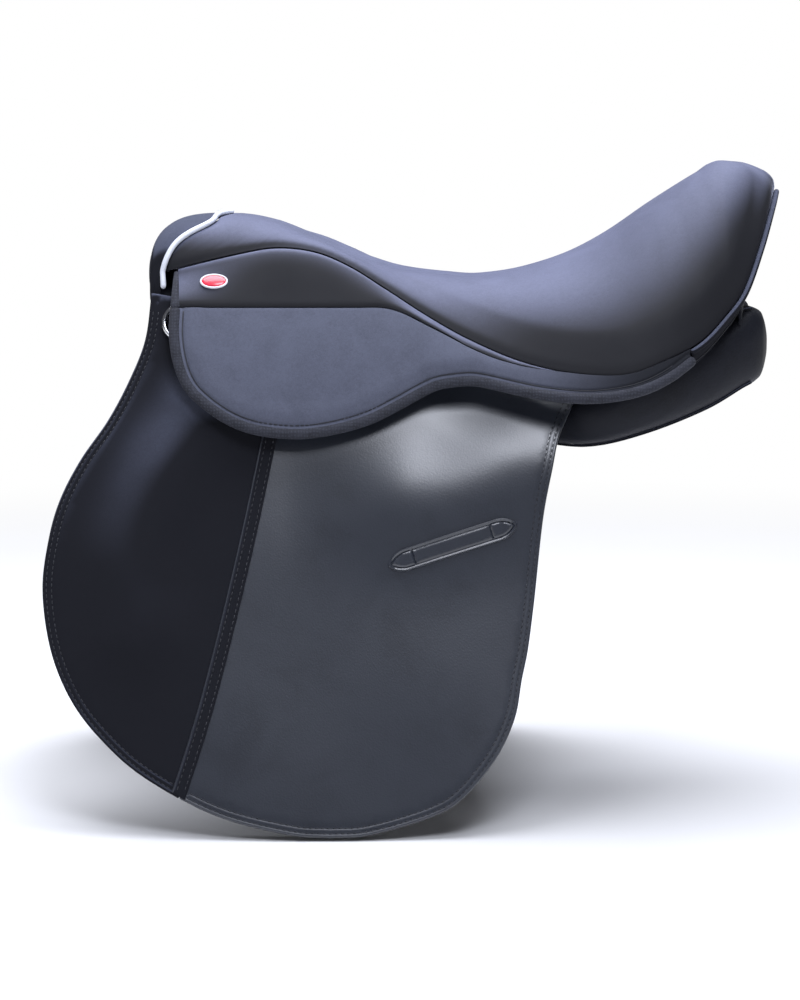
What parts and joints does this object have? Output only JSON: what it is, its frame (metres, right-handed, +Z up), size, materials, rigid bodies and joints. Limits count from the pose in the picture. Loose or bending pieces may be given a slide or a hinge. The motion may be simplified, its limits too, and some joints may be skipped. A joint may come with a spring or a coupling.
{
  "type": "all-purpose saddle",
  "caption": "Padded riding saddle with lifting skirts and flaps, girth straps, stirrup bars and panels either side of a channel.",
  "frame": {"origin": "in the middle of the channel between the panels, on the line of the horse's back", "axes": "+X from pommel to cantle, +Y to the far (right-hand) side, +Z up"},
  "size_m": [0.569, 0.4308, 0.4951],
  "materials": {
    "seat_nubuck": "matte brushed microfibre",
    "dark_suede": "matte suede-like microfibre",
    "skirt_nubuck": "matte brushed microfibre",
    "flap_leather": "smooth satin synthetic leather",
    "piping_cord": "pale satin piping",
    "foam": "open foam, covered",
    "tree_polymer": "moulded polymer",
    "steel": "satin stainless steel",
    "badge_enamel": "plain red enamel, no lettering",
    "panel_leather": "soft matte synthetic leather",
    "strap_leather": "reinforced strap leather"
  },
  "bodies": {
    "saddle": {"seat_cover": "seat_nubuck", "seat_foam": "foam", "pommel_facing": "dark_suede", "pommel_piping": "piping_cord", "tree": "tree_polymer", "gullet_plate": "steel", "gullet_screw_left": "steel", "gullet_screw_right": "steel", "cantle_welt": "dark_suede", "cantle_facing": "dark_suede", "front_arch": "panel_leather", "panel_back": "panel_leather", "left_yoke": "skirt_nubuck", "left_skirt_tail": "skirt_nubuck", "left_tail_binding": "dark_suede", "left_badge": "badge_enamel", "left_flap_root": "dark_suede", "left_sweat_flap": "panel_leather", "left_knee_roll": "panel_leather", "left_panel": "panel_leather", "left_stirrup_bar": "steel", "left_bar_rivet_front": "steel", "left_bar_rivet_rear": "steel", "left_girth_web": "strap_leather", "right_yoke": "skirt_nubuck", "right_skirt_tail": "skirt_nubuck", "right_tail_binding": "dark_suede", "right_badge": "badge_enamel", "right_flap_root": "dark_suede", "right_sweat_flap": "panel_leather", "right_knee_roll": "panel_leather", "right_panel": "panel_leather", "right_stirrup_bar": "steel", "right_bar_rivet_front": "steel", "right_bar_rivet_rear": "steel", "right_girth_web": "strap_leather"},
    "left_skirt_lobe": {"left_skirt": "skirt_nubuck", "left_skirt_binding": "dark_suede"},
    "left_flap": {"left_flap_front": "dark_suede", "left_flap_rear": "flap_leather", "left_flap_seam": "dark_suede", "left_flap_tab": "flap_leather"},
    "left_dee": {"left_dee_ring": "steel", "left_dee_tab": "strap_leather"},
    "left_catch": {"left_bar_catch": "steel"},
    "left_girth_strap_front": {"left_girth_strap_front": "strap_leather"},
    "left_girth_strap_middle": {"left_girth_strap_middle": "strap_leather"},
    "left_girth_strap_rear": {"left_girth_strap_rear": "strap_leather"},
    "right_skirt_lobe": {"right_skirt": "skirt_nubuck", "right_skirt_binding": "dark_suede"},
    "right_flap": {"right_flap_front": "dark_suede", "right_flap_rear": "flap_leather", "right_flap_seam": "dark_suede", "right_flap_tab": "flap_leather"},
    "right_dee": {"right_dee_ring": "steel", "right_dee_tab": "strap_leather"},
    "right_catch": {"right_bar_catch": "steel"},
    "right_girth_strap_front": {"right_girth_strap_front": "strap_leather"},
    "right_girth_strap_middle": {"right_girth_strap_middle": "strap_leather"},
    "right_girth_strap_rear": {"right_girth_strap_rear": "strap_leather"}
  },
  "joints": [
    {"name": "left_skirt_lift", "type": "hinge", "parent": "saddle", "child": "left_skirt_lobe", "pos_m": [0, -0.086, 0.076], "axis": [-1, 0, 0], "range_deg": [0, 100]},
    {"name": "left_flap_lift", "type": "hinge", "parent": "saddle", "child": "left_flap", "pos_m": [0, -0.11441, -0.03505], "axis": [-1, 0, 0], "range_deg": [0, 90]},
    {"name": "left_dee_swing", "type": "hinge", "parent": "saddle", "child": "left_dee", "pos_m": [-0.1675, -0.07407, 0.08064], "axis": [0, -0.9379, 0.3469], "range_deg": [-20, 20]},
    {"name": "left_catch_turn", "type": "hinge", "parent": "saddle", "child": "left_catch", "pos_m": [-0.0224, -0.09254, 0.04856], "axis": [0, -0.9379, 0.3469], "range_deg": [0, 80]},
    {"name": "left_girth_strap_front_swing", "type": "hinge", "parent": "saddle", "child": "left_girth_strap_front", "pos_m": [-0.035, -0.08791, -0.00434], "axis": [0, -0.9379, 0.3469], "range_deg": [-4, 4]},
    {"name": "left_girth_strap_middle_swing", "type": "hinge", "parent": "saddle", "child": "left_girth_strap_middle", "pos_m": [0.012, -0.08791, -0.00434], "axis": [0, -0.9379, 0.3469], "range_deg": [-4, 4]},
    {"name": "left_girth_strap_rear_swing", "type": "hinge", "parent": "saddle", "child": "left_girth_strap_rear", "pos_m": [0.059, -0.08791, -0.00434], "axis": [0, -0.9379, 0.3469], "range_deg": [-4, 4]},
    {"name": "right_skirt_lift", "type": "hinge", "parent": "saddle", "child": "right_skirt_lobe", "pos_m": [0, 0.086, 0.076], "axis": [1, 0, 0], "range_deg": [0, 100]},
    {"name": "right_flap_lift", "type": "hinge", "parent": "saddle", "child": "right_flap", "pos_m": [0, 0.11441, -0.03505], "axis": [1, 0, 0], "range_deg": [0, 90]},
    {"name": "right_dee_swing", "type": "hinge", "parent": "saddle", "child": "right_dee", "pos_m": [-0.1675, 0.07407, 0.08064], "axis": [0, 0.9379, 0.3469], "range_deg": [-20, 20]},
    {"name": "right_catch_turn", "type": "hinge", "parent": "saddle", "child": "right_catch", "pos_m": [-0.0224, 0.09254, 0.04856], "axis": [0, -0.9379, -0.3469], "range_deg": [0, 80]},
    {"name": "right_girth_strap_front_swing", "type": "hinge", "parent": "saddle", "child": "right_girth_strap_front", "pos_m": [-0.035, 0.08791, -0.00434], "axis": [0, 0.9379, 0.3469], "range_deg": [-4, 4]},
    {"name": "right_girth_strap_middle_swing", "type": "hinge", "parent": "saddle", "child": "right_girth_strap_middle", "pos_m": [0.012, 0.08791, -0.00434], "axis": [0, 0.9379, 0.3469], "range_deg": [-4, 4]},
    {"name": "right_girth_strap_rear_swing", "type": "hinge", "parent": "saddle", "child": "right_girth_strap_rear", "pos_m": [0.059, 0.08791, -0.00434], "axis": [0, 0.9379, 0.3469], "range_deg": [-4, 4]}
  ]
}
